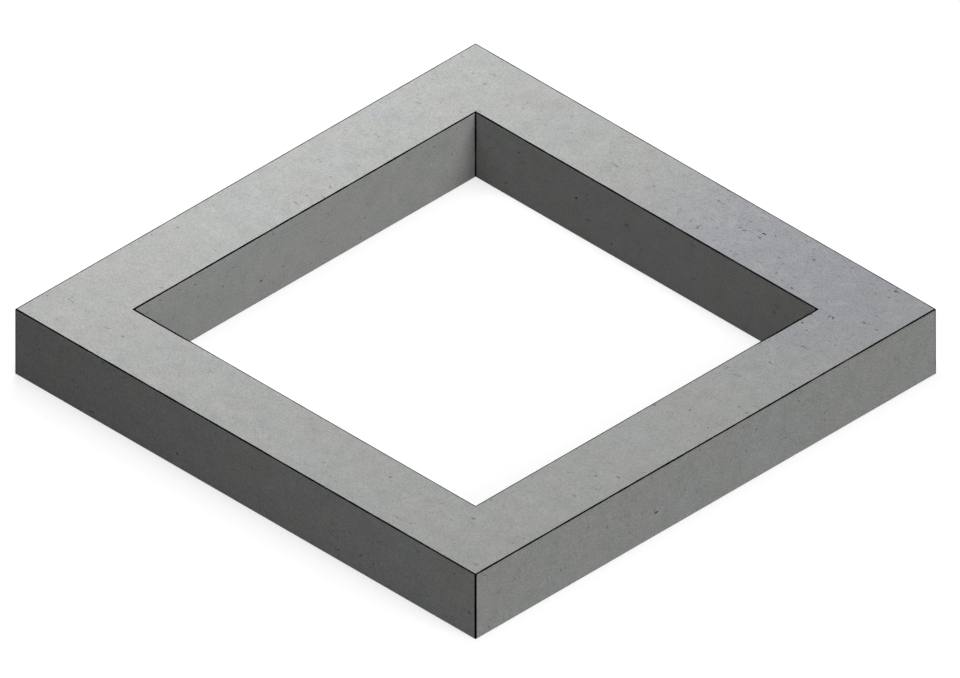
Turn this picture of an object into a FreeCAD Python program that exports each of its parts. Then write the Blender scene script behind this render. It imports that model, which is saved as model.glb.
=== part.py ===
import FreeCAD, Part
import os

# Precast concrete adjusting frame for a square manhole: one plain ring, cast in one pour. It is bedded in
# mortar between the chamber's cover slab and the iron frame, to bring the cover up to street level.
# Millimetres. The origin is the centre of the underside, +Z is up, and the walls run along X and Y.

# Driving dimensions
clear_opening = 850.0  # side of the square opening, wall to wall
wall_width = 150.0  # width of each wall, and so of the bearing faces above and below it
frame_height = 140.0  # how far one frame raises the cover
arris_chamfer = 1.0  # leg of the small bevel on every outward corner, which keeps the cast edges whole

outer_side = clear_opening + 2 * wall_width


def square_prism(side, height):
    """A square prism on the plane Z = 0, centred on the Z axis."""
    corner = FreeCAD.Vector(-side / 2, -side / 2, 0)
    return Part.makeBox(side, side, height, corner)


def ring():
    """The plain ring with sharp corners: the outer block less the opening, which goes right through."""
    return square_prism(outer_side, frame_height).cut(square_prism(clear_opening, frame_height))


def is_inside_corner(edge):
    """True for an upright edge where two walls of the opening meet. It is cast sharp."""
    start, end = (vertex.Point for vertex in edge.Vertexes)
    upright = abs(start.z - end.z) > frame_height / 2
    return upright and abs(start.x) < outer_side / 2 - wall_width / 2


def adjusting_frame():
    """The ring with every outward corner bevelled: the outer block's twelve and the opening's two rims."""
    body = ring()
    outward = [edge for edge in body.Edges if not is_inside_corner(edge)]
    return body.makeChamfer(arris_chamfer, outward)


os.makedirs("parts", exist_ok=True)
adjusting_frame().exportStep("parts/adjusting_frame.step")
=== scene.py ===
import math
import bpy
import bmesh
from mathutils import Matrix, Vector


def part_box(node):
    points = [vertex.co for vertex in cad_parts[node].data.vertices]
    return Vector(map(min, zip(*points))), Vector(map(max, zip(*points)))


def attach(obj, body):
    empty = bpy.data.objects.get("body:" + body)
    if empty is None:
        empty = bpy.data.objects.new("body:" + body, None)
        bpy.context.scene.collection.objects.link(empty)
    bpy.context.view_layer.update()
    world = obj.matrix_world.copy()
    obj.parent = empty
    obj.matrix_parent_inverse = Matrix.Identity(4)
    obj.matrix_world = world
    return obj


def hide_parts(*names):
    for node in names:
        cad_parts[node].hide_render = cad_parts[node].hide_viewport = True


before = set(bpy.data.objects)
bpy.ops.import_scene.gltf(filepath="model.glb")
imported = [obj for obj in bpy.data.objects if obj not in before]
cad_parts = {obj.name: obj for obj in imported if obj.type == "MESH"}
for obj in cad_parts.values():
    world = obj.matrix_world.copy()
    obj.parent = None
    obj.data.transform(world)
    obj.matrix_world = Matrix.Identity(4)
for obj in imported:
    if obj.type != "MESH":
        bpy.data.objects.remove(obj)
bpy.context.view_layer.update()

# A precast concrete adjusting frame for a square manhole, lying on a pale studio floor.
# Metres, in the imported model's own frame: Z is up, and the walls run along X and Y.

mm = 0.001
sameHeight = 0.1 * mm  # two heights nearer than this are one
cadNode = "adjusting_frame"
ringLow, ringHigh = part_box(cadNode)
ringMiddle = (ringLow + ringHigh) / 2
cadCorners = [vertex.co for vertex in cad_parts[cadNode].data.vertices]
outerHalf = ringHigh.x  # the ring stands centred on the origin
frameHeight = ringHigh.z
openingHalf = min(max(abs(corner.x), abs(corner.y)) for corner in cadCorners)
bevelLeg = outerHalf - max(abs(corner.x) for corner in cadCorners if corner.z > frameHeight - sameHeight)
print("frame loaded, half side", round(outerHalf, 4), "half opening", round(openingHalf, 4),
      "bevel", round(bevelLeg, 5))


def linearColour(hexText):
    parts = [int(hexText[i:i + 2], 16) / 255 for i in (1, 3, 5)]
    return [part / 12.92 if part <= 0.04045 else ((part + 0.055) / 1.055) ** 2.4 for part in parts] + [1.0]


# Adds a node. Its inputs are given by name or number, and one that is another node's socket is linked.
def addNode(tree, kind, settings, inputs):
    node = tree.nodes.new(kind)
    for name, value in settings.items():
        setattr(node, name, value)
    for key, value in inputs.items():
        if isinstance(value, bpy.types.NodeSocket):
            tree.links.new(value, node.inputs[key])
        else:
            node.inputs[key].default_value = value
    return node


# Camera: a true isometric view from the corner between the +X and -Y walls

cameraSettings = {
    "azimuth": math.radians(45),
    "elevation": math.atan(1 / math.sqrt(2)),  # the tilt at which all three axes shorten alike
    "widthOverDiagonal": 1.0419,  # the view's width over the ring's diagonal
    "right": 7.8 * mm,  # how far the middle of the view lies right of the ring's middle
    "up": 4.0 * mm,
    "distance": 4.0,
}


def makeCamera(s):
    tilt = s["elevation"]
    turn = s["azimuth"]
    back = Vector((math.sin(turn) * math.cos(tilt), -math.cos(turn) * math.cos(tilt), math.sin(tilt)))
    right = Vector((math.cos(turn), math.sin(turn), 0))
    data = bpy.data.cameras.new("camera")
    data.type = "ORTHO"
    data.ortho_scale = s["widthOverDiagonal"] * 2 * outerHalf * math.sqrt(2)
    camera = bpy.data.objects.new("camera", data)
    camera.rotation_mode = "QUATERNION"
    camera.rotation_quaternion = (-back).to_track_quat("-Z", "Y")
    camera.location = ringMiddle + right * s["right"] + back.cross(right) * s["up"] + back * s["distance"]
    bpy.context.scene.collection.objects.link(camera)
    bpy.context.scene.camera = camera


makeCamera(cameraSettings)
bpy.context.scene.view_settings.view_transform = "Standard"
print("camera made")

# Cast concrete: grey cement paste that set against an oiled steel mould and was never painted.
# To the eye it is matt and even, a little green where the paste is rich and bluer where it dried
# slowly, with fine sand grain, scattered scuffs, hair cracks, and a dark line where the mould leaked.

concreteSettings = {
    "tints": ["#a9aaab", "#a6a9a6", "#a8aaa8", "#aaa9a8", "#a6a8a4"],
    "tintSize": 120 * mm,
    "onTopDepth": (6 * mm, 1 * mm),  # how deep a point no longer counts as on top, and still does
    "paleTint": "#b2b3b0",
    "darkTint": "#9c9e9d",
    "mottleSize": 30 * mm,
    "mottleAmount": 0.50,
    "mottleEnds": (0.75, 0.25),  # where the mottle's noise is palest and darkest
    "slowCuredTint": "#a3a4a9",
    "slowCuredPlace": (0.30, 0.50, 0.14),
    "slowCuredReach": (0.14, 0.42),
    "paintedLightX": 0.10,  # painted light: how much paler the top's -X side is painted than its middle
    # painted light: how much paler the top's -Y side is painted
    "paintedLightY": 0.01,
    "paintedLightWall": 0.11,  # painted light: how much paler the +X ends of the walls along X are painted
    "grainSize": 2.2 * mm,  # real sand is finer: this is the finest grain that shows from here
    "grainSpread": (0.28, 0.72),
    "grainOnTop": (0.85, 1.14),
    "grainOnWall": (0.80, 1.16),
    "scuffs": [  # small dents and scores: how far apart, how wide, how much they darken
        {"spacing": 6.5 * mm, "radius": 1.5 * mm, "darken": 0.26, "cluster": 45 * mm},
        {"spacing": 5 * mm, "radius": 1.1 * mm, "darken": 0.20, "cluster": 28 * mm},
        {"spacing": 14 * mm, "radius": 2.3 * mm, "darken": 0.50, "cluster": 90 * mm},
    ],
    "scuffLength": 2.4,  # length over width, along X
    "scuffTurn": math.radians(-8),  # and how far round from X
    "scuffBend": 7 * mm,
    "scuffBendSize": 11 * mm,
    "scuffEdge": (1.2, 0.3),  # in radii: where one begins to show, and where it is darkest
    "scuffMissing": 0.25,  # the share of places left without one
    "scuffStrongest": 1.4,
    "clusterSpread": (0.40, 0.62),
    "clusterLeast": 0.35,  # how strong scuffs are between the clusters
    "hairSize": 15 * mm,  # hair cracks: how tightly they curl
    "hairLength": 16 * mm,
    "hairShown": (0.57, 0.63),  # where the noise of lengths lets one show
    "hairWidth": 0.012,  # as a share of its noise
    "hairDark": 0.84,
    "hairRim": 1.05,
    "hairRimAt": 2.2,  # how many widths the pale rim lies beside it
    "holeDustAndShade": (0.22, 0.48),  # what dust and painted shade in an air hole leave of the colour, on a wall and on top
    "holeDepth": (0.10 * mm, 1.6 * mm),
    "lineColour": "#0e0f10",
    "lineOnFlat": 1.9 * mm,  # how far the dark line spreads past the bevel, over the top or underside
    "lineOnWall": 0.25 * mm,  # down the wall from there
    "lineUpright": 2.0 * mm,  # and each way round from an upright corner
    "lineInCorner": 2.1 * mm,
    "lineSoft": 0.25 * mm,
    "lineWander": 0.25 * mm,
    "lineWanderSize": 40 * mm,
    "cornerExtra": 1.8 * mm,  # how much wider it is on the tops of the -Y and +X walls, by a corner
    "cornerStart": 3 * mm,
    "cornerLength": (108.8 * mm, 176.8 * mm),  # where that begins to thin out, and where it ends
    "belowTop": (0.1 * mm, 0.4 * mm),  # where an inner corner's line begins under the top
    "roughness": (0.88, 0.98),
    "sheen": 0.1,  # next to none, and none on the line
    "bumpHeight": 0.15 * mm,
    "bumpStrength": 0.5,
    "ior": 1.5,
}

# nearly all of a noise lies between the first and the last of these
noiseLow = 0.3
noiseMiddle = 0.5
noiseHigh = 0.7

# settings that many nodes share
plus = {"operation": "ADD"}
minus = {"operation": "SUBTRACT"}
times = {"operation": "MULTIPLY"}
lesser = {"operation": "MINIMUM"}
greater = {"operation": "MAXIMUM"}
plain = {"operation": "ABSOLUTE"}
scaled = {"operation": "SCALE"}
smooth = {"interpolation_type": "SMOOTHSTEP"}
coloured = {"data_type": "RGBA"}


# Where a shaded point lies: its distances from the ring's own faces, inwards, and whether it is on top
def addPlaces(tree, s):
    place = addNode(tree, "ShaderNodeTexCoord", {}, {}).outputs
    parts = addNode(tree, "ShaderNodeSeparateXYZ", {}, {"Vector": place["Object"]}).outputs
    facing = addNode(tree, "ShaderNodeSeparateXYZ", {}, {"Vector": place["Normal"]}).outputs
    across = addNode(tree, "ShaderNodeMath", plain, {0: parts["X"]}).outputs[0]
    along = addNode(tree, "ShaderNodeMath", plain, {0: parts["Y"]}).outputs[0]
    reach = addNode(tree, "ShaderNodeMath", greater, {0: across, 1: along}).outputs[0]
    fromOuter = addNode(tree, "ShaderNodeMath", minus, {0: outerHalf, 1: reach}).outputs[0]
    fromOpening = addNode(tree, "ShaderNodeMath", minus, {0: reach, 1: openingHalf}).outputs[0]
    fromTop = addNode(tree, "ShaderNodeMath", minus, {0: frameHeight, 1: parts["Z"]}).outputs[0]
    deep, shallow = s["onTopDepth"]
    onTop = addNode(tree, "ShaderNodeMapRange", smooth,
                    {"Value": fromTop, "From Min": deep, "From Max": shallow}).outputs[0]
    return {
        "point": place["Object"],
        "x": parts["X"],
        "y": parts["Y"],
        "across": across,
        "along": along,
        "fromEnds": addNode(tree, "ShaderNodeMath", lesser, {0: fromTop, 1: parts["Z"]}).outputs[0],
        "fromOuter": fromOuter,
        "fromOpening": fromOpening,
        "onTop": onTop,
        "facingY": addNode(tree, "ShaderNodeMath", plain, {0: facing["Y"]}).outputs[0],
    }


# Soft tints over a hand's breadth or two, a finer mottle, and a bluer patch that cured slowly
def addTints(tree, s, where):
    drift = addNode(tree, "ShaderNodeTexNoise", {},
                    {"Vector": where["point"], "Scale": 1 / s["tintSize"], "Detail": 1.0})
    tints = addNode(tree, "ShaderNodeValToRGB", {}, {"Fac": drift.outputs["Fac"]})
    ramp = tints.color_ramp
    while len(ramp.elements) < len(s["tints"]):
        ramp.elements.new(noiseMiddle)
    for i, tint in enumerate(s["tints"]):
        ramp.elements[i].position = noiseLow + (noiseHigh - noiseLow) * i / (len(s["tints"]) - 1)
        ramp.elements[i].color = linearColour(tint)
    fromPatch = addNode(tree, "ShaderNodeVectorMath", {"operation": "DISTANCE"},
                        {0: where["point"], 1: s["slowCuredPlace"]}).outputs["Value"]
    near, far = s["slowCuredReach"]
    patch = addNode(tree, "ShaderNodeMapRange", smooth, {
        "Value": fromPatch,
        "From Min": far,
        "From Max": near,
        "To Max": where["onTop"],
    }).outputs[0]
    colour = addNode(tree, "ShaderNodeMix", coloured,
                     {0: patch, 6: tints.outputs["Color"], 7: linearColour(s["slowCuredTint"])}).outputs[2]
    mottle = addNode(tree, "ShaderNodeTexNoise", {},
                     {"Vector": where["point"], "Scale": 1 / s["mottleSize"], "Detail": 3.0}).outputs["Fac"]
    for end, tint in zip(s["mottleEnds"], (s["paleTint"], s["darkTint"])):
        share = addNode(tree, "ShaderNodeMapRange", smooth, {
            "Value": mottle,
            "From Min": noiseMiddle,
            "From Max": end,
            "To Max": s["mottleAmount"],
        }).outputs[0]
        colour = addNode(tree, "ShaderNodeMix", coloured,
                         {0: share, 6: colour, 7: linearColour(tint)}).outputs[2]
    return colour, mottle, patch


# How much paler or darker than its tint each point is: painted light across the top and along the walls, sand
# grain, scuffs and hair cracks
def addTone(tree, s, where, patch):
    # painted light: the top is painted paler towards -X and a little towards -Y, and the walls along X paler
    # towards +X, for how the lamps fall
    topX = addNode(tree, "ShaderNodeMath", times, {0: where["x"], 1: -s["paintedLightX"] / outerHalf}).outputs[0]
    topY = addNode(tree, "ShaderNodeMath", times, {0: where["y"], 1: -s["paintedLightY"] / outerHalf}).outputs[0]
    top = addNode(tree, "ShaderNodeMath", plus, {0: topX, 1: topY}).outputs[0]
    top = addNode(tree, "ShaderNodeMath", times, {0: top, 1: where["onTop"]}).outputs[0]
    wall = addNode(tree, "ShaderNodeMath", times, {0: where["x"], 1: s["paintedLightWall"] / outerHalf}).outputs[0]
    wall = addNode(tree, "ShaderNodeMath", times, {0: wall, 1: where["facingY"]}).outputs[0]
    drift = addNode(tree, "ShaderNodeMath", plus, {0: top, 1: wall}).outputs[0]
    tone = addNode(tree, "ShaderNodeMath", plus, {0: drift, 1: 1.0}).outputs[0]

    grain = addNode(tree, "ShaderNodeTexNoise", {},
                    {"Vector": where["point"], "Scale": 1 / s["grainSize"], "Detail": 2.0}).outputs["Fac"]
    ends = [addNode(tree, "ShaderNodeMapRange", {},
                    {"Value": where["onTop"], "To Min": wallEnd, "To Max": topEnd}).outputs[0]
            for wallEnd, topEnd in zip(s["grainOnWall"], s["grainOnTop"])]
    grainTone = addNode(tree, "ShaderNodeMapRange", smooth, {
        "Value": grain,
        "From Min": s["grainSpread"][0],
        "From Max": s["grainSpread"][1],
        "To Min": ends[0],
        "To Max": ends[1],
    }).outputs[0]
    tone = addNode(tree, "ShaderNodeMath", times, {0: tone, 1: grainTone}).outputs[0]

    # scuffs: cells drawn out along X and bent by a noise, each with its own strength, in loose clusters
    bend = addNode(tree, "ShaderNodeTexNoise", {}, {
        "Vector": where["point"],
        "Scale": 1 / s["scuffBendSize"],
        "Detail": 1.0,
    }).outputs["Color"]
    bend = addNode(tree, "ShaderNodeVectorMath", minus, {0: bend, 1: [noiseMiddle] * 3}).outputs[0]
    bend = addNode(tree, "ShaderNodeVectorMath", scaled, {0: bend, "Scale": 2 * s["scuffBend"]}).outputs[0]
    drawn = addNode(tree, "ShaderNodeMapping", {}, {
        "Vector": where["point"],
        "Rotation": (0, 0, s["scuffTurn"]),
        "Scale": (1 / s["scuffLength"], 1, 1),
    }).outputs[0]
    bent = addNode(tree, "ShaderNodeVectorMath", plus, {0: drawn, 1: bend}).outputs[0]
    relief = grain
    for scuff in s["scuffs"]:
        cells = addNode(tree, "ShaderNodeTexVoronoi", {"feature": "F1"},
                        {"Vector": bent, "Scale": 1 / scuff["spacing"]}).outputs
        radius = scuff["radius"] / scuff["spacing"]
        spot = addNode(tree, "ShaderNodeMapRange", smooth, {
            "Value": cells["Distance"],
            "From Min": radius * s["scuffEdge"][0],
            "From Max": radius * s["scuffEdge"][1],
            "To Max": scuff["darken"],
        }).outputs[0]
        own = addNode(tree, "ShaderNodeSeparateXYZ", {}, {"Vector": cells["Color"]}).outputs["X"]
        strength = addNode(tree, "ShaderNodeMapRange", {}, {
            "Value": own,
            "From Min": s["scuffMissing"],
            "To Max": s["scuffStrongest"],
        }).outputs[0]
        cluster = addNode(tree, "ShaderNodeTexNoise", {}, {
            "Vector": where["point"],
            "Scale": 1 / scuff["cluster"],
            "Detail": 1.0,
        }).outputs["Fac"]
        cluster = addNode(tree, "ShaderNodeMapRange", smooth, {
            "Value": cluster,
            "From Min": s["clusterSpread"][0],
            "From Max": s["clusterSpread"][1],
            "To Min": s["clusterLeast"],
        }).outputs[0]
        more = addNode(tree, "ShaderNodeMath", plus, {0: cluster, 1: patch}).outputs[0]
        spot = addNode(tree, "ShaderNodeMath", times, {0: spot, 1: strength}).outputs[0]
        spot = addNode(tree, "ShaderNodeMath", times, {0: spot, 1: more}).outputs[0]
        left = addNode(tree, "ShaderNodeMath", minus, {0: 1.0, 1: spot}).outputs[0]
        tone = addNode(tree, "ShaderNodeMath", times, {0: tone, 1: left}).outputs[0]
        relief = addNode(tree, "ShaderNodeMath", minus, {0: relief, 1: spot}).outputs[0]

    # hair cracks: a thin dark contour with a pale rim beside it, in short lengths
    curl = addNode(tree, "ShaderNodeTexNoise", {},
                   {"Vector": drawn, "Scale": 1 / s["hairSize"], "Detail": 1.0}).outputs["Fac"]
    lengths = addNode(tree, "ShaderNodeTexNoise", {},
                      {"Vector": where["point"], "Scale": 1 / s["hairLength"], "Detail": 2.0}).outputs["Fac"]
    hidden, shown = s["hairShown"]
    shown = addNode(tree, "ShaderNodeMapRange", smooth,
                    {"Value": lengths, "From Min": hidden, "From Max": shown}).outputs[0]
    rimMiddle = noiseMiddle + s["hairRimAt"] * s["hairWidth"]
    for middle, amount in ((noiseMiddle, s["hairDark"] - 1), (rimMiddle, s["hairRim"] - 1)):
        off = addNode(tree, "ShaderNodeMath", minus, {0: curl, 1: middle}).outputs[0]
        off = addNode(tree, "ShaderNodeMath", plain, {0: off}).outputs[0]
        hair = addNode(tree, "ShaderNodeMapRange", smooth, {
            "Value": off,
            "From Min": s["hairWidth"],
            "From Max": 0.0,
            "To Max": amount,
        }).outputs[0]
        hair = addNode(tree, "ShaderNodeMath", times, {0: hair, 1: shown}).outputs[0]
        hair = addNode(tree, "ShaderNodeMath", plus, {0: hair, 1: 1.0}).outputs[0]
        tone = addNode(tree, "ShaderNodeMath", times, {0: tone, 1: hair}).outputs[0]
    return tone, relief


# How much of the dark line shows: it follows every edge, where fine paste bled between the mould's plates
def addEdgeLine(tree, s, where):
    wander = addNode(tree, "ShaderNodeTexNoise", {}, {
        "Vector": where["point"],
        "Scale": 1 / s["lineWanderSize"],
        "Detail": 2.0,
    }).outputs["Fac"]
    wander = addNode(tree, "ShaderNodeMapRange", smooth, {
        "Value": wander,
        "From Min": noiseLow,
        "From Max": noiseHigh,
        "To Min": -s["lineWander"],
        "To Max": s["lineWander"],
    }).outputs[0]
    # past two of the inner corners the line is wider, for about as far as the ring is high
    thinning, ended = s["cornerLength"]
    past = addNode(tree, "ShaderNodeMath", minus, {0: where["x"], 1: where["y"]}).outputs[0]
    grown = addNode(tree, "ShaderNodeMapRange", smooth, {
        "Value": past,
        "From Min": ended,
        "From Max": thinning,
        "To Max": s["cornerExtra"],
    }).outputs[0]
    grown = addNode(tree, "ShaderNodeMapRange", smooth,
                    {"Value": past, "From Max": s["cornerStart"], "To Max": grown}).outputs[0]
    byWall = addNode(tree, "ShaderNodeMath", minus, {0: where["fromOpening"], 1: grown}).outputs[0]
    byWall = addNode(tree, "ShaderNodeMath", greater, {0: byWall, 1: 0.0}).outputs[0]
    byWall = addNode(tree, "ShaderNodeMath", lesser, {0: byWall, 1: where["fromOuter"]}).outputs[0]
    corner = bevelLeg + s["lineUpright"]
    besides = [addNode(tree, "ShaderNodeMath", minus, {0: where[side], 1: openingHalf}).outputs[0]
               for side in ("across", "along")]
    outsides = [addNode(tree, "ShaderNodeMath", minus, {0: outerHalf, 1: where[side]}).outputs[0]
                for side in ("across", "along")]
    belowTop = addNode(tree, "ShaderNodeMapRange", smooth, {
        "Value": where["fromEnds"],
        "From Min": s["belowTop"][0],
        "From Max": s["belowTop"][1],
    }).outputs[0]
    line = 0.0
    for pair, limits, allowed in (
        ((byWall, where["fromEnds"]), (bevelLeg + s["lineOnFlat"], bevelLeg + s["lineOnWall"]), 1.0),
        (outsides, (corner, corner), 1.0),
        (besides, (s["lineInCorner"], s["lineInCorner"]), belowTop),
    ):
        share = allowed
        for distance, limit in zip(pair, limits):
            far = addNode(tree, "ShaderNodeMath", plain, {0: distance}).outputs[0]
            far = addNode(tree, "ShaderNodeMath", plus, {0: far, 1: wander}).outputs[0]
            share = addNode(tree, "ShaderNodeMapRange", smooth, {
                "Value": far,
                "From Min": limit + s["lineSoft"],
                "From Max": limit - s["lineSoft"],
                "To Max": share,
            }).outputs[0]
        line = addNode(tree, "ShaderNodeMath", greater, {0: line, 1: share}).outputs[0]
    return line


def makeConcrete(s):
    material = bpy.data.materials.new("cast concrete")
    material.use_nodes = True
    tree = material.node_tree
    tree.nodes.clear()
    where = addPlaces(tree, s)
    tint, mottle, patch = addTints(tree, s, where)
    tone, relief = addTone(tree, s, where, patch)
    toned = addNode(tree, "ShaderNodeVectorMath", scaled, {0: tint, "Scale": tone}).outputs[0]

    # inside an air hole, which is whatever lies below the ring's faces, dust and painted shade darken the
    # colour
    depth = addNode(tree, "ShaderNodeMath", lesser,
                    {0: where["fromOuter"], 1: where["fromOpening"]}).outputs[0]
    depth = addNode(tree, "ShaderNodeMath", lesser, {0: depth, 1: where["fromEnds"]}).outputs[0]
    inHole = addNode(tree, "ShaderNodeMapRange", smooth, {
        "Value": depth,
        "From Min": s["holeDepth"][0],
        "From Max": s["holeDepth"][1],
    }).outputs[0]
    # partly dust, partly painted shade: the deeper in a hole, the darker, most on a wall
    dustAndShade = addNode(tree, "ShaderNodeMapRange", {}, {
        "Value": where["onTop"],
        "To Min": s["holeDustAndShade"][0],
        "To Max": s["holeDustAndShade"][1],
    }).outputs[0]
    dustyShaded = addNode(tree, "ShaderNodeVectorMath", scaled, {0: toned, "Scale": dustAndShade}).outputs[0]
    colour = addNode(tree, "ShaderNodeMix", coloured, {0: inHole, 6: toned, 7: dustyShaded}).outputs[2]
    line = addEdgeLine(tree, s, where)
    colour = addNode(tree, "ShaderNodeMix", coloured,
                     {0: line, 6: colour, 7: linearColour(s["lineColour"])}).outputs[2]

    roughness = addNode(tree, "ShaderNodeMapRange", smooth, {
        "Value": mottle,
        "From Min": noiseLow,
        "From Max": noiseHigh,
        "To Min": s["roughness"][0],
        "To Max": s["roughness"][1],
    }).outputs[0]
    sheen = addNode(tree, "ShaderNodeMapRange", {},
                    {"Value": line, "To Min": s["sheen"], "To Max": 0.0}).outputs[0]
    bump = addNode(tree, "ShaderNodeBump", {},
                   {"Height": relief, "Distance": s["bumpHeight"], "Strength": s["bumpStrength"]})
    skin = addNode(tree, "ShaderNodeBsdfPrincipled", {}, {
        "Base Color": colour,
        "Roughness": roughness,
        "IOR": s["ior"],
        "Specular IOR Level": sheen,
        "Normal": bump.outputs[0],
    })
    addNode(tree, "ShaderNodeOutputMaterial", {}, {"Surface": skin.outputs[0]})
    return material


concrete = makeConcrete(concreteSettings)
print("concrete mixed")

# Air holes are bubbles that stayed against the mould, and grit marks are short curved scores from
# a grain that rolled. One tree scatters cutters over a closed mesh, clear of its sharp edges, and
# cuts them out of it. A ball cuts a hole, and a thin tapered arc cuts a grit mark.

scatterInputs = {  # name in the tree: kind of socket
    "Count Per Square Metre": "NodeSocketFloat",
    "Spacing": "NodeSocketFloat",
    "Edge Clearance": "NodeSocketFloat",
    "Smallest Radius": "NodeSocketFloat",
    "Largest Radius": "NodeSocketFloat",
    "Rarity Of Large": "NodeSocketFloat",
    "Stretch": "NodeSocketFloat",
    "Height Over Radius": "NodeSocketFloat",
    "Raggedness": "NodeSocketFloat",
    "Seed": "NodeSocketInt",
    "Material": "NodeSocketMaterial",
}


# Cutters are one unit in radius, and each place gives its own size
cutterSettings = {
    "ballFineness": 3,
    "pinFineness": 2,
    "arcPoints": 9,
    "arcSweep": math.radians(105),
    "arcThickness": 0.075,  # the radius of its section
    "arcSides": 6,
    "arcEnds": 0.25,  # how thick its ends are, over the middle's swell
    "lumpSize": 3 * mm,  # how far apart the lumps of a cutter's ragged skin lie
    "sharpAngle": math.radians(15),  # an edge that bends more than this is sharp
}


def ballCutter(tree, s):
    return addNode(tree, "GeometryNodeMeshIcoSphere", {},
                   {"Radius": 1.0, "Subdivisions": s["ballFineness"]}).outputs["Mesh"]


def pinCutter(tree, s):
    return addNode(tree, "GeometryNodeMeshIcoSphere", {},
                   {"Radius": 1.0, "Subdivisions": s["pinFineness"]}).outputs["Mesh"]


def arcCutter(tree, s):
    arc = addNode(tree, "GeometryNodeCurveArc", {},
                  {"Resolution": s["arcPoints"], "Radius": 1.0, "Sweep Angle": s["arcSweep"]})
    along = addNode(tree, "GeometryNodeSplineParameter", {}, {}).outputs["Factor"]
    half = addNode(tree, "ShaderNodeMath", times, {0: along, 1: math.pi}).outputs[0]
    swell = addNode(tree, "ShaderNodeMath", {"operation": "SINE"}, {0: half}).outputs[0]
    thick = addNode(tree, "ShaderNodeMath", plus, {0: swell, 1: s["arcEnds"]}).outputs[0]
    section = addNode(tree, "GeometryNodeCurvePrimitiveCircle", {},
                      {"Resolution": s["arcSides"], "Radius": s["arcThickness"]})
    return addNode(tree, "GeometryNodeCurveToMesh", {}, {
        "Curve": arc.outputs["Curve"],
        "Profile Curve": section.outputs["Curve"],
        "Scale": thick,
        "Fill Caps": True,
    }).outputs["Mesh"]


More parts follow.
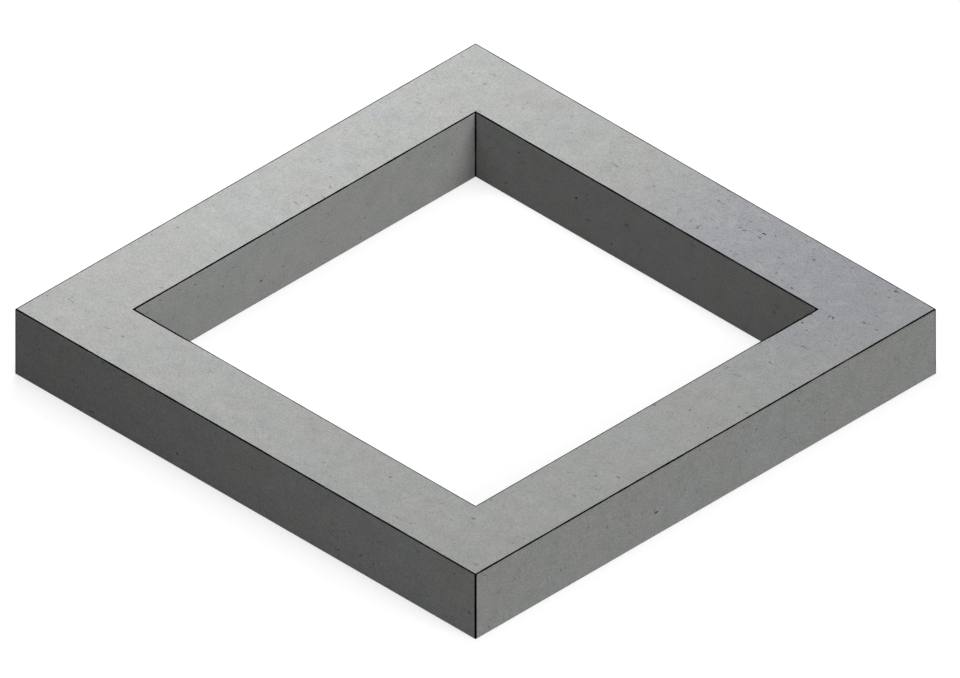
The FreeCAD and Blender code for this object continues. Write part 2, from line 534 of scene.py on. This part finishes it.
def makeScatterTree(name, makeCutter, s):
    tree = bpy.data.node_groups.new(name, "GeometryNodeTree")
    tree.interface.new_socket("Geometry", in_out="INPUT", socket_type="NodeSocketGeometry")
    tree.interface.new_socket("Geometry", in_out="OUTPUT", socket_type="NodeSocketGeometry")
    for label, kind in scatterInputs.items():
        tree.interface.new_socket(label, in_out="INPUT", socket_type=kind)
    given = addNode(tree, "NodeGroupInput", {}, {}).outputs

    # places: random points on the faces, clear of every sharp edge
    bend = addNode(tree, "GeometryNodeInputMeshEdgeAngle", {}, {}).outputs["Unsigned Angle"]
    isSharp = addNode(tree, "FunctionNodeCompare", {"operation": "GREATER_THAN"},
                      {0: bend, 1: s["sharpAngle"]})
    sharpEdges = addNode(tree, "GeometryNodeSeparateGeometry", {"domain": "EDGE"},
                         {"Geometry": given["Geometry"], "Selection": isSharp.outputs["Result"]})
    scattered = addNode(tree, "GeometryNodeDistributePointsOnFaces", {"distribute_method": "POISSON"}, {
        "Mesh": given["Geometry"],
        "Distance Min": given["Spacing"],
        "Density Max": given["Count Per Square Metre"],
        "Seed": given["Seed"],
    })
    nearest = addNode(tree, "GeometryNodeProximity", {"target_element": "EDGES"},
                      {"Geometry": sharpEdges.outputs["Selection"]})
    isClear = addNode(tree, "FunctionNodeCompare", {"operation": "GREATER_EQUAL"},
                      {0: nearest.outputs["Distance"], 1: given["Edge Clearance"]})

    # sizes: most are small and a few are large, and each is drawn out one way by its own amount
    chance = addNode(tree, "FunctionNodeRandomValue", {}, {2: 0.0, 3: 1.0, "Seed": given["Seed"]}).outputs[1]
    rare = addNode(tree, "ShaderNodeMath", {"operation": "POWER"}, {0: chance, 1: given["Rarity Of Large"]})
    radius = addNode(tree, "ShaderNodeMapRange", {}, {
        "Value": rare.outputs[0],
        "To Min": given["Smallest Radius"],
        "To Max": given["Largest Radius"],
    })
    nextSeed = addNode(tree, "ShaderNodeMath", plus, {0: given["Seed"], 1: 1.0}).outputs[0]
    longer = addNode(tree, "FunctionNodeRandomValue", {},
                     {2: 1.0, 3: given["Stretch"], "Seed": nextSeed}).outputs[1]
    shape = addNode(tree, "ShaderNodeCombineXYZ", {},
                    {"X": longer, "Y": 1.0, "Z": given["Height Over Radius"]})
    size = addNode(tree, "ShaderNodeVectorMath", scaled,
                   {0: shape.outputs[0], "Scale": radius.outputs["Result"]})
    spin = addNode(tree, "FunctionNodeRandomValue", {}, {2: 0.0, 3: 2 * math.pi, "Seed": nextSeed}).outputs[1]
    spinAngles = addNode(tree, "ShaderNodeCombineXYZ", {}, {"Z": spin})
    spinTurn = addNode(tree, "FunctionNodeEulerToRotation", {}, {"Euler": spinAngles.outputs[0]})
    turn = addNode(tree, "FunctionNodeRotateRotation", {"rotation_space": "LOCAL"},
                   {"Rotation": scattered.outputs["Rotation"], "Rotate By": spinTurn.outputs[0]})

    # cutters with a ragged skin, cut out of the mesh
    placed = addNode(tree, "GeometryNodeInstanceOnPoints", {}, {
        "Points": scattered.outputs["Points"],
        "Selection": isClear.outputs["Result"],
        "Instance": makeCutter(tree, s),
        "Rotation": turn.outputs[0],
        "Scale": size.outputs[0],
    })
    cutters = addNode(tree, "GeometryNodeRealizeInstances", {}, {"Geometry": placed.outputs["Instances"]})
    lumps = addNode(tree, "ShaderNodeTexNoise", {},
                    {"Scale": 1 / s["lumpSize"], "Detail": 1.0}).outputs["Color"]
    aboutZero = addNode(tree, "ShaderNodeVectorMath", minus, {0: lumps, 1: [noiseMiddle] * 3})
    offset = addNode(tree, "ShaderNodeVectorMath", scaled,
                     {0: aboutZero.outputs[0], "Scale": given["Raggedness"]})
    ragged = addNode(tree, "GeometryNodeSetPosition", {},
                     {"Geometry": cutters.outputs["Geometry"], "Offset": offset.outputs[0]})
    cut = addNode(tree, "GeometryNodeMeshBoolean", {"operation": "DIFFERENCE", "solver": "MANIFOLD"},
                  {"Mesh 1": given["Geometry"], "Mesh 2": ragged.outputs["Geometry"]})
    whole = addNode(tree, "GeometryNodeRealizeInstances", {}, {"Geometry": cut.outputs["Mesh"]})
    finished = addNode(tree, "GeometryNodeSetMaterial", {},
                       {"Geometry": whole.outputs["Geometry"], "Material": given["Material"]})
    addNode(tree, "NodeGroupOutput", {}, {"Geometry": finished.outputs["Geometry"]})
    return tree


ringSettings = {
    "mergeWithin": 0.01 * mm,
    "flatWithin": math.radians(1),
    "airHoles": {
        "Count Per Square Metre": 110.0,
        "Spacing": 22 * mm,
        "Edge Clearance": 9 * mm,
        "Smallest Radius": 1.2 * mm,
        "Largest Radius": 2.9 * mm,
        "Rarity Of Large": 3.0,
        "Stretch": 2.2,
        "Height Over Radius": 0.5,
        "Raggedness": 1.6 * mm,
        "Seed": 11,
    },
    "gritMarks": {
        "Count Per Square Metre": 90.0,
        "Spacing": 20 * mm,
        "Edge Clearance": 13 * mm,
        "Smallest Radius": 3.0 * mm,
        "Largest Radius": 9.0 * mm,
        "Rarity Of Large": 1.6,
        "Stretch": 2.2,
        "Height Over Radius": 1.0,
        "Raggedness": 1.6 * mm,
        "Seed": 23,
    },
    "pinholes": {
        "Count Per Square Metre": 260.0,
        "Spacing": 9 * mm,
        "Edge Clearance": 4 * mm,
        "Smallest Radius": 0.6 * mm,
        "Largest Radius": 1.5 * mm,
        "Rarity Of Large": 2.0,
        "Stretch": 1.6,
        "Height Over Radius": 0.8,
        "Raggedness": 0.4 * mm,
        "Seed": 37,
    },
}


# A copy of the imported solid's mesh, merged, then cut by each tree in turn
def makeRing(s):
    mesh = bpy.data.meshes.new("cast_ring")
    shape = bmesh.new()
    shape.from_mesh(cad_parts[cadNode].data)
    bmesh.ops.remove_doubles(shape, verts=shape.verts, dist=s["mergeWithin"])
    bmesh.ops.dissolve_limit(shape, angle_limit=s["flatWithin"], verts=shape.verts, edges=shape.edges)
    bmesh.ops.triangulate(shape, faces=shape.faces)
    shape.to_mesh(mesh)
    shape.free()
    ring = bpy.data.objects.new("cast_ring", mesh)
    bpy.context.scene.collection.objects.link(ring)
    for name, makeCutter in (("airHoles", ballCutter), ("gritMarks", arcCutter), ("pinholes", pinCutter)):
        modifier = ring.modifiers.new(name, "NODES")
        modifier.node_group = makeScatterTree(name, makeCutter, cutterSettings)
        sockets = {item.name: item.identifier for item in modifier.node_group.interface.items_tree}
        for label, value in s[name].items():
            modifier[sockets[label]] = value
        modifier[sockets["Material"]] = concrete
    evaluated = ring.evaluated_get(bpy.context.evaluated_depsgraph_get())
    ring.data = bpy.data.meshes.new_from_object(evaluated)
    ring.modifiers.clear()
    ring.data.name = "cast_ring"
    ring.data.materials.clear()
    ring.data.materials.append(concrete)
    return ring


ring = makeRing(ringSettings)
print("ring cast, faces:", len(ring.data.polygons))


# How far a point lies below the nearest of the ring's own faces
def skinDepth(point):
    reach = max(abs(point.x), abs(point.y))
    return min(outerHalf - reach, reach - openingHalf, point.z, frameHeight - point.z)


# Only the holes' own faces are smooth, so the flats stay flat right up to each rim
holeStart = 0.02 * mm
largestHoleFace = (10 * mm) ** 2
for polygon in ring.data.polygons:
    polygon.material_index = 0
    polygon.use_smooth = skinDepth(polygon.center) > holeStart and polygon.area < largestHoleFace


# A map to bake through: the top and the underside lie side by side, and above them each of the four
# sides has a row, with its outer wall and then its wall of the opening. A hole goes with the face it is in.
def layOutMap(piece, gap):
    side = 2 * outerHalf
    width = 2 * side + gap
    height = side + 4 * (frameHeight + gap)
    layer = piece.data.uv_layers.new(name="OFBake")
    for polygon in piece.data.polygons:
        centre = polygon.center
        skins = [(frameHeight - centre.z, "flat", 0), (centre.z, "flat", 1)]  # depth below it, kind, number
        for row, (axis, sign) in enumerate(((0, 1), (0, -1), (1, 1), (1, -1))):
            reach = centre[axis] * sign
            skins.append((outerHalf - reach, "wall", row))
            if reach > 0 and abs(centre[1 - axis]) < openingHalf:
                skins.append((abs(reach - openingHalf), "opening", row))
        depth, kind, number = min(skins)
        for corner in polygon.loop_indices:
            point = piece.data.vertices[piece.data.loops[corner].vertex_index].co
            if kind == "flat":
                u = number * (side + gap) + outerHalf + point.x
                v = outerHalf + point.y
            else:
                u = point[1 - number // 2] + (outerHalf if kind == "wall" else side + gap + openingHalf)
                v = side + gap + number * (frameHeight + gap) + point.z
            layer.data[corner].uv = (u / width, v / height)


mapGap = 20 * mm
layOutMap(ring, mapGap)
print("map laid out")

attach(ring, "root")
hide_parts(cadNode)


# Whether a ray comes straight from the camera, or by way of something glossy or clear
def addSeen(tree):
    rays = addNode(tree, "ShaderNodeLightPath", {}, {}).outputs
    straight = addNode(tree, "ShaderNodeMath", greater,
                       {0: rays["Is Camera Ray"], 1: rays["Is Glossy Ray"]}).outputs[0]
    return addNode(tree, "ShaderNodeMath", greater, {0: straight, 1: rays["Is Transmission Ray"]}).outputs[0]


# Floor: plain pale studio board. The camera sees it near white, with the ring's soft shadow on it,
# and the ring sees it darker, so it throws little light back up the walls.

floorSettings = {
    "halfSide": 25.0,
    "seenColour": "#b0b0b0",
    "seenGlow": 0.66,
    "bouncedColour": "#606060",
}


def makeFloor(s):
    mesh = bpy.data.meshes.new("studio_floor")
    h = s["halfSide"]
    mesh.from_pydata([(-h, -h, 0), (h, -h, 0), (h, h, 0), (-h, h, 0)], [], [(0, 1, 2, 3)])
    floor = bpy.data.objects.new("studio_floor", mesh)
    bpy.context.scene.collection.objects.link(floor)
    material = bpy.data.materials.new("pale studio board")
    material.use_nodes = True
    tree = material.node_tree
    tree.nodes.clear()
    seen = addSeen(tree)
    board = addNode(tree, "ShaderNodeBsdfDiffuse", {}, {"Color": linearColour(s["seenColour"])})
    glow = addNode(tree, "ShaderNodeEmission", {}, {"Color": (1, 1, 1, 1), "Strength": s["seenGlow"]})
    pale = addNode(tree, "ShaderNodeAddShader", {}, {0: board.outputs[0], 1: glow.outputs[0]})
    dull = addNode(tree, "ShaderNodeBsdfDiffuse", {}, {"Color": linearColour(s["bouncedColour"])})
    both = addNode(tree, "ShaderNodeMixShader", {}, {0: seen, 1: dull.outputs[0], 2: pale.outputs[0]})
    addNode(tree, "ShaderNodeOutputMaterial", {}, {"Surface": both.outputs[0]})
    mesh.materials.append(material)
    return floor


makeFloor(floorSettings)

# Light: a soft sun from above and one from +X, a panel over the -X end, and a small one before
# the +X end of the -Y wall

lightSettings = {
    "skyStrength": 0.129,  # of the room, as the ring sees it
    "suns": [
        {"name": "overhead", "from": (0, 0, 1), "angle": 30, "strength": 1.25},
        {"name": "side", "from": (1.0, 0.12, 0.62), "angle": 30, "strength": 1.53},
    ],
    "panels": [
        {
            "name": "left_panel",
            "at": (-1.2, 0.35, 1.8),
            "aim": (-0.9, 0.3, 0),
            "size": 0.6,
            "power": 14.2,
        },
        {
            "name": "corner_panel",
            "at": (0.8, -2.2, 0.8),
            "aim": (0.4, -0.4, 0.07),
            "size": 0.4,
            "power": 2.55,
        },
    ],
}


def makeLights(s):
    scene = bpy.context.scene
    for sun in s["suns"]:
        data = bpy.data.lights.new(sun["name"], "SUN")
        data.energy = sun["strength"]
        data.angle = math.radians(sun["angle"])
        lamp = bpy.data.objects.new(sun["name"], data)
        lamp.rotation_euler = Vector(sun["from"]).to_track_quat("Z", "Y").to_euler()
        scene.collection.objects.link(lamp)
    for panel in s["panels"]:
        data = bpy.data.lights.new(panel["name"], "AREA")
        data.energy = panel["power"]
        data.size = panel["size"]
        lamp = bpy.data.objects.new(panel["name"], data)
        lamp.location = panel["at"]
        lamp.rotation_euler = (Vector(panel["at"]) - Vector(panel["aim"])).to_track_quat("Z", "Y").to_euler()
        lamp.visible_camera = False
        scene.collection.objects.link(lamp)
    world = bpy.data.worlds.new("studio")
    world.use_nodes = True
    scene.world = world
    tree = world.node_tree
    tree.nodes.clear()
    seen = addSeen(tree)
    strength = addNode(tree, "ShaderNodeMapRange", {},
                       {"Value": seen, "To Min": s["skyStrength"], "To Max": 1.0}).outputs["Result"]
    sky = addNode(tree, "ShaderNodeBackground", {}, {"Color": (1, 1, 1, 1), "Strength": strength})
    addNode(tree, "ShaderNodeOutputWorld", {}, {"Surface": sky.outputs[0]})


makeLights(lightSettings)
print("floor and lights set")
